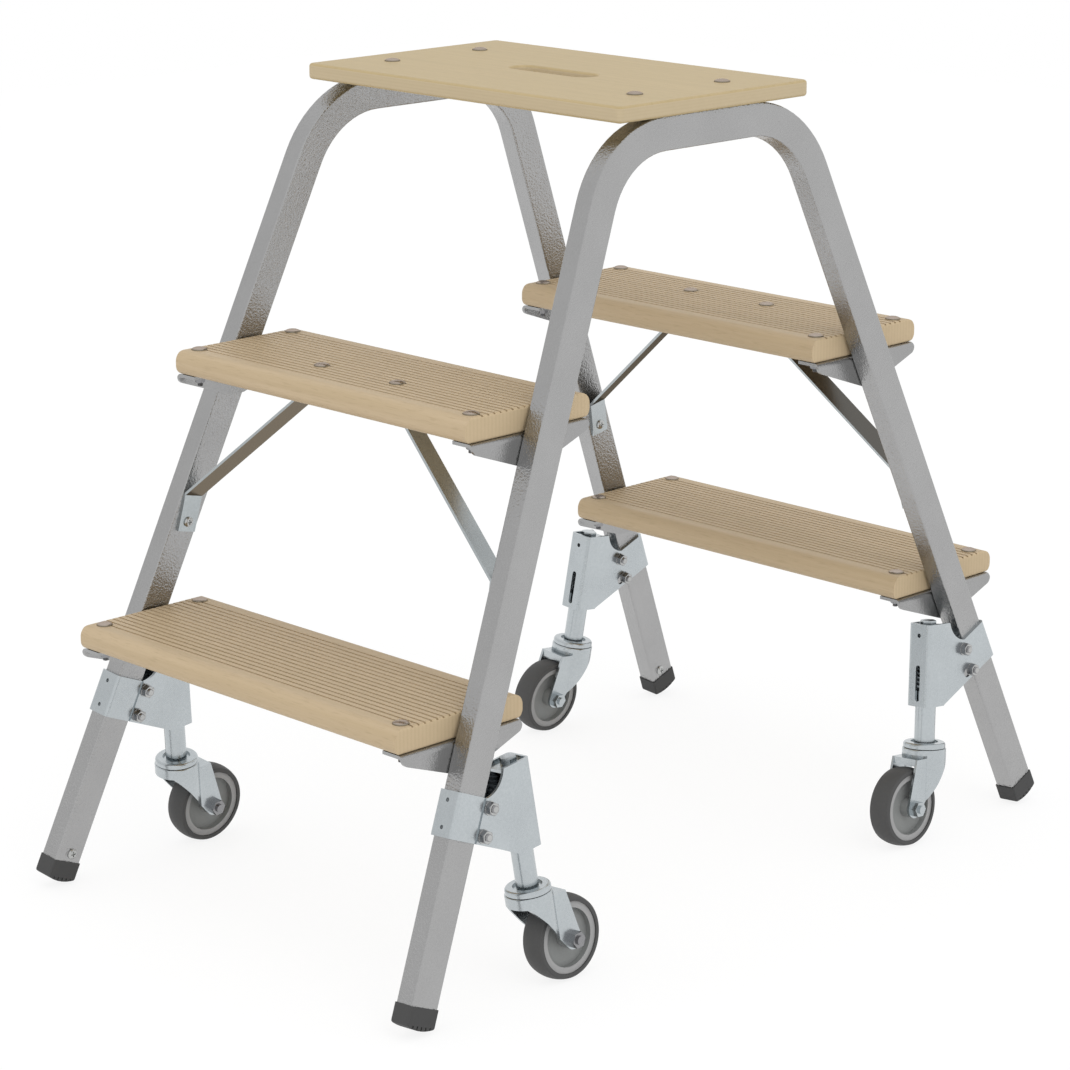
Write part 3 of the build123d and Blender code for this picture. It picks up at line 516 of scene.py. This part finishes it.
def threaded_stud(radius, base, length, turns):
    clear_selection()
    bpy.ops.mesh.primitive_cylinder_add(
        vertices=24, radius=radius, depth=base, location=(0, 0, base / 2))
    apply_place()
    edit_faces(faces_up)
    half_turn = length / (2 * turns + 1)
    level = base
    for turn in range(turns):
        for scale in (THREAD_WAIST, 1 / THREAD_WAIST):
            level += half_turn
            bpy.ops.mesh.extrude_region_move(TRANSFORM_OT_translate={"value": (0, 0, half_turn)})
            bpy.ops.transform.resize(value=(scale, scale, 1), center_override=(0, 0, level))
    bpy.ops.mesh.extrude_region_move(TRANSFORM_OT_translate={"value": (0, 0, half_turn)})
    bpy.ops.transform.resize(value=(STUD_TIP, STUD_TIP, 1), center_override=(0, 0, level))
    bpy.ops.object.mode_set(mode="OBJECT")
    return bpy.context.object


def join_model(name, parts):
    clear_selection()
    for part in parts:
        part.select_set(True)
    bpy.context.view_layer.objects.active = parts[0]
    bpy.ops.object.join()
    model = bpy.context.object
    model.name = name
    bpy.ops.object.shade_smooth_by_angle(angle=EDGE_ANGLE)
    model.data.materials.clear()
    model.data.materials.append(bolt_steel)
    model.data.materials.append(painted_shade_steel)
    # Painted shade: all but the outer end faces take the darker steel.
    for face in model.data.polygons:
        face.material_index = 0 if faces_up(face) else 1
    return model


SMALL_WASHER = 5.2 * MM
SMALL_SPANNER = 8 * MM
SMALL_HEIGHT = 4 * MM
SMALL_STUD = 2.5 * MM
CLAMP_WASHER = 6.2 * MM
CLAMP_SPANNER = 10.5 * MM
CLAMP_HEIGHT = 5.0 * MM
CLAMP_STUD = 3.3 * MM

small_nut = join_model("small_nut_model", [
    washer(SMALL_WASHER),
    hexagon(SMALL_SPANNER, SMALL_HEIGHT),
    threaded_stud(SMALL_STUD, WASHER + SMALL_HEIGHT, length=3.2 * MM, turns=4)])
clamp_nut = join_model("clamp_nut_model", [
    washer(CLAMP_WASHER),
    hexagon(CLAMP_SPANNER, CLAMP_HEIGHT),
    threaded_stud(CLAMP_STUD, WASHER + CLAMP_HEIGHT, length=1.8 * MM, turns=2)])
print("nut models:", len(small_nut.data.polygons), len(clamp_nut.data.polygons), "faces")

# %% [markdown]
# ## Bolts through treads, braces and board
# Each tread is bolted to its bracket with two bolts at both ends, the braces hang on one more bolt each
# near the middle of the upper treads, and the board has four. The head goes on the wood and the nut stack
# under the metal, turned over so that it points down.

# %% Place the step bolts
BRACKET_SHEET = 3.0 * MM
BRACE_SHEET = 2.5 * MM
BOLT_SPREAD = 55.0 * MM
TREAD_BOLT_X = {"lower": 195.9 * MM, "middle": 175.6 * MM}
BRACE_BOLT = Vector((48.8, 238.24, 0)) * MM
BOARD_BOLT = Vector((152.9, 55.4, 0)) * MM
UP = Vector((0, 0, 1))


def bolt_down(name, x, y, top, under):
    place_copy(domed_head, "bolt_head_" + name, stand(Vector((x, y, top)), UP))
    place_copy(small_nut, "bolt_nut_" + name, stand(Vector((x, y, under)), -UP))


bolts = 0
for level, bolt_x in TREAD_BOLT_X.items():
    for end in ("front", "back"):
        low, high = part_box("tread_" + level + "_" + end)
        middle_y = (low.y + high.y) / 2
        for side, x in (("right", bolt_x), ("left", -bolt_x)):
            for row, y in (("a", middle_y - BOLT_SPREAD), ("b", middle_y + BOLT_SPREAD)):
                bolt_down("_".join((level, end, side, row)), x, y, high.z, low.z - BRACKET_SHEET)
                bolts += 1
board_low, board_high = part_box("platform_board")
for end, y_sign in (("front", -1), ("back", 1)):
    tread_low, tread_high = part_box("tread_middle_" + end)
    for side, x_sign in (("right", 1), ("left", -1)):
        bolt_down("brace_" + end + "_" + side, x_sign * BRACE_BOLT.x, y_sign * BRACE_BOLT.y,
                  tread_high.z, tread_low.z - BRACE_SHEET)
        bolt_down("board_" + end + "_" + side, x_sign * BOARD_BOLT.x, y_sign * BOARD_BOLT.y,
                  board_high.z, board_low.z - BRACKET_SHEET)
        bolts += 2
print("bolts:", bolts)

# %% [markdown]
# ## Clamp bolts of the castors
# Each castor housing is a folded sheet that grips the leg, pulled together by two bolts behind the leg.
# All four castors have their nuts towards the right-hand side of the steps, as in the picture. The places are
# given from the foot of the leg: how far across it, how far up along it, and how far out.

# %% Place the clamp bolts
SPLAY = math.radians(5.0)
TILT = math.radians(22.72)
LEG_FOOT = Vector((252.273, 425.679, 0)) * MM
OUT = Vector((math.cos(SPLAY), 0, math.sin(SPLAY)))
RISE = Vector((-math.sin(SPLAY), 0, math.cos(SPLAY)))
UP_LEG = Vector((0, -math.sin(TILT), 0)) + RISE * math.cos(TILT)
ACROSS_LEG = Vector((0, math.cos(TILT), 0)) + RISE * math.sin(TILT)
CORNERS = {"front_right": (1, -1), "back_right": (1, 1), "front_left": (-1, -1), "back_left": (-1, 1)}


def turned_to(vector, signs):
    return Vector((vector.x * signs[0], vector.y * signs[1], vector.z))


def on_leg(across, up, out, signs):
    return turned_to(LEG_FOOT + ACROSS_LEG * across + UP_LEG * up + OUT * out, signs)


CLAMP_ACROSS = -35.0 * MM
CLAMP_LEVELS = {"low": 180.5 * MM, "high": 204.5 * MM}
CLAMP_OUTSIDE = 2.5 * MM
CLAMP_INSIDE = -22.5 * MM
CLAMP_HEAD_HEIGHT = 4.2 * MM

clamp_head = join_model("clamp_head_model", [
    washer(CLAMP_WASHER),
    hexagon(CLAMP_SPANNER, CLAMP_HEAD_HEIGHT)])
for corner, signs in CORNERS.items():
    out_dir = turned_to(OUT, signs)
    for level, up in CLAMP_LEVELS.items():
        outer_place = stand(on_leg(CLAMP_ACROSS, up, CLAMP_OUTSIDE, signs), out_dir)
        inner_place = stand(on_leg(CLAMP_ACROSS, up, CLAMP_INSIDE, signs), -out_dir)
        nut_place, head_place = (outer_place, inner_place) if signs[0] > 0 else (inner_place, outer_place)
        place_copy(clamp_nut, "clamp_nut_" + level + "_" + corner, nut_place)
        place_copy(clamp_head, "clamp_head_" + level + "_" + corner, head_place)
print("clamp bolts:", len(CORNERS) * len(CLAMP_LEVELS))

# %% [markdown]
# ## Cross-recess screws
# A pan-head screw holds each foot cap in its tube and another the foot of each brace. The pan is made like
# the bolt head with a higher rim, and the recess is cut with two crossed blades by the Boolean modifier.

# %% Pan-head screw
PAN_RADIUS = 4.8 * MM
PAN_RIM = 1.0 * MM
PAN_STEPS = ((0.7, 0.8), (1.3, 0.5), (1.4, 0.15))
BLADE_SIZE = (5.2 * MM, 1.1 * MM, 3 * MM)
BLADE_LEVEL = 2.5 * MM

pan_screw = stepped_head("pan_screw_model", 40, PAN_RADIUS, PAN_RIM, PAN_STEPS)
for turn in (0, math.pi / 2):
    clear_selection()
    bpy.ops.mesh.primitive_cube_add(
        size=1, location=(0, 0, BLADE_LEVEL), rotation=(0, 0, turn), scale=BLADE_SIZE)
    apply_place()
    blade = bpy.context.object
    recess = pan_screw.modifiers.new("recess", "BOOLEAN")
    recess.object = blade
    bpy.context.view_layer.objects.active = pan_screw
    bpy.ops.object.modifier_apply(modifier=recess.name)
    bpy.data.objects.remove(blade)
pan_screw.select_set(True)
bpy.ops.object.shade_smooth_by_angle(angle=EDGE_ANGLE)
pan_screw.data.materials.append(bolt_steel)
print("pan-head screw:", len(pan_screw.data.polygons), "faces")

# %% Place the screws
FOOT_SCREW = (-17.0 * MM, 41.5 * MM, -20.0 * MM)
BRACE_SCREW_Y = 270.0 * MM
BRACE_SCREW_Z = 327.0 * MM
TUBE_WIDTH = 20 * MM

leg_inside = LEG_FOOT.x - BRACE_SCREW_Z * math.tan(SPLAY) - (TUBE_WIDTH + BRACE_SHEET) / math.cos(SPLAY)
for corner, signs in CORNERS.items():
    inward = -turned_to(OUT, signs)
    foot_place = stand(on_leg(*FOOT_SCREW, signs), inward)
    place_copy(pan_screw, "foot_screw_" + corner, foot_place)
    brace_point = turned_to(Vector((leg_inside, BRACE_SCREW_Y, BRACE_SCREW_Z)), signs)
    place_copy(pan_screw, "brace_screw_" + corner, stand(brace_point, inward))
print("screws:", 2 * len(CORNERS))

# %% [markdown]
# ## Coil springs
# A spring inside each housing pushes the castor down. In the solid model it is a plain sleeve of the same
# size. The coil is one small circle that the Screw modifier turns round the stem, a turn at a time, and its
# two open ends are closed afterwards. It stands in for the sleeve and has the sleeve's place.

# %% Coil spring
COIL_RADIUS = 7.8 * MM
COIL_WIRE = 2.2 * MM
COIL_FROM = 109.2 * MM
COIL_TO = 166.3 * MM
COIL_TURNS = 14
COIL_STEPS = 24

clear_selection()
bpy.ops.mesh.primitive_circle_add(
    vertices=12, radius=COIL_WIRE / 2, location=(COIL_RADIUS, 0, 0), rotation=(math.pi / 2, 0, 0))
apply_place()
coil = bpy.context.object
coil.name = "coil_model"
wind = coil.modifiers.new("wind", "SCREW")
wind.screw_offset = (COIL_TO - COIL_FROM) / COIL_TURNS
wind.iterations = COIL_TURNS
wind.steps = COIL_STEPS
wind.render_steps = COIL_STEPS
bpy.ops.object.modifier_apply(modifier=wind.name)
bpy.ops.object.mode_set(mode="EDIT")
bpy.ops.mesh.select_all(action="SELECT")
bpy.ops.mesh.remove_doubles(threshold=0.001 * MM)
bpy.ops.mesh.fill_holes(sides=0)
bpy.ops.mesh.select_all(action="SELECT")
bpy.ops.mesh.normals_make_consistent(inside=False)
bpy.ops.object.mode_set(mode="OBJECT")
bpy.ops.object.shade_smooth_by_angle(angle=ROUND_ANGLE)
coil.data.materials.append(spring_steel)
for corner in CORNERS:
    stem = next(joint for joint in frame["joints"] if joint["name"] == "swivel_turn_" + corner)
    stem_dir = Vector(stem["axis"])
    spring = place_copy(coil, "coil_spring_" + corner,
                        stand(Vector(stem["pos_m"]) + stem_dir * COIL_FROM, stem_dir))
    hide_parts("castor_spring_" + corner)
print("coil springs:", len(CORNERS), "of", len(coil.data.polygons), "faces")

# %% Remove the models that were copied
for model in (domed_head, small_nut, clamp_nut, clamp_head, pan_screw, coil):
    bpy.data.objects.remove(model)

# %% [markdown]
# ## Floor and light
# The picture shows the steps on plain white. A white floor that is lit would have to be overexposed to look
# so, and would burn out the wood as well. Instead the floor shows white to the camera and in reflections,
# keeps a little of its true shading so that the shadow stays, and lights the object as a pale grey floor
# does. The world does the same: white to look at and to mirror, softer as light, and a little stronger from
# the upper right. One large lamp from there and a weaker one from the front shape the wood. Metal mirrors
# the white room and not the lamps, so its rounded edges show no hard glints. The room that it mirrors is
# slightly greyer at the front left, so the two sides of a tube differ and its edges can be seen.

# %% Floor
FLOOR_WHITE = 0.8
FLOOR_GLOW = 1.06


def seen_directly(tree):
    path = add_node(tree, "ShaderNodeLightPath").outputs
    seen = calculate(tree, "MAXIMUM", path["Is Camera Ray"], path["Is Glossy Ray"])
    return calculate(tree, "MAXIMUM", seen, path["Is Transmission Ray"])


clear_selection()
bpy.ops.mesh.primitive_plane_add(size=9)
floor = bpy.context.object
floor.name = "floor"
floor_material, tree = new_material("pale_floor")
share = calculate(tree, "MULTIPLY", seen_directly(tree), FLOOR_WHITE)
paint = add_node(tree, "ShaderNodeBsdfDiffuse", inputs={"Color": linear("#EEEEEE")})
white = add_node(tree, "ShaderNodeEmission", inputs={"Color": (1, 1, 1, 1), "Strength": FLOOR_GLOW})
mixed = add_node(tree, "ShaderNodeMixShader", inputs={0: share, 1: paint.outputs[0], 2: white.outputs[0]})
add_node(tree, "ShaderNodeOutputMaterial", inputs={"Surface": mixed.outputs[0]})
floor.data.materials.append(floor_material)
print("floor:", floor_material.name)

# %% World
UPPER_RIGHT = (0.6, -0.2, 0.75)
FRONT_LEFT = (-0.66, -0.7, 0.27)

world = bpy.data.worlds.new("soft_room")
bpy.context.scene.world = world
world.use_nodes = True
tree = world.node_tree
tree.nodes.clear()
direction = add_node(tree, "ShaderNodeTexCoord").outputs["Generated"]


def towards(aim):
    return add_node(tree, "ShaderNodeVectorMath", {"operation": "DOT_PRODUCT"}, {
        0: direction, 1: aim}).outputs["Value"]


light = rescale(tree, towards(UPPER_RIGHT), -0.8, 0.8, 0.78, 0.94)
room = add_node(tree, "ShaderNodeBackground", inputs={"Color": (1, 1, 1, 1), "Strength": light})
mirrored = rescale(tree, towards(FRONT_LEFT), 0.4, 0.95, 1.0, 0.85)
to_camera = add_node(tree, "ShaderNodeLightPath").outputs["Is Camera Ray"]
shown = calculate(tree, "MAXIMUM", mirrored, to_camera)
backdrop = add_node(tree, "ShaderNodeBackground", inputs={"Color": (1, 1, 1, 1), "Strength": shown})
mixed = add_node(tree, "ShaderNodeMixShader", inputs={
    0: seen_directly(tree), 1: room.outputs[0], 2: backdrop.outputs[0]})
add_node(tree, "ShaderNodeOutputWorld", inputs={"Surface": mixed.outputs[0]})
print("world:", world.name)

# %% Lamps
LAMP_AIM = Vector((0, 0, 0.4))


def soft_lamp(name, place, size, watts):
    lamp = bpy.data.lights.new(name, "AREA")
    lamp.size = size
    lamp.energy = watts
    carrier = bpy.data.objects.new(name, lamp)
    carrier.location = place
    carrier.rotation_euler = (LAMP_AIM - Vector(place)).to_track_quat("-Z", "Y").to_euler()
    carrier.visible_glossy = False
    bpy.context.scene.collection.objects.link(carrier)


soft_lamp("key_lamp", (2.6, -0.6, 3.2), size=2.2, watts=18)
soft_lamp("fill_lamp", (-0.6, -3.2, 1.4), size=2.0, watts=10)
print("lamps: 2")

# %% [markdown]
# ## Camera
# The camera stands where the picture was taken from: a little above the top board, looking at the corner
# between the front treads and the right-hand frame. Place, turn and lens were worked out from the corners
# of the board and the bolts, so they are given as numbers.

# %% Camera and size
camera = bpy.data.cameras.new("camera")
camera.lens = 114.6
camera.sensor_width = 36.0
camera_carrier = bpy.data.objects.new("camera", camera)
camera_carrier.location = (2.15076, -2.16074, 1.14002)
camera_carrier.rotation_euler = (math.pi / 2 - 0.268442, 0, 0.788563)
bpy.context.scene.collection.objects.link(camera_carrier)
bpy.context.scene.camera = camera_carrier
bpy.context.scene.view_settings.view_transform = "Standard"
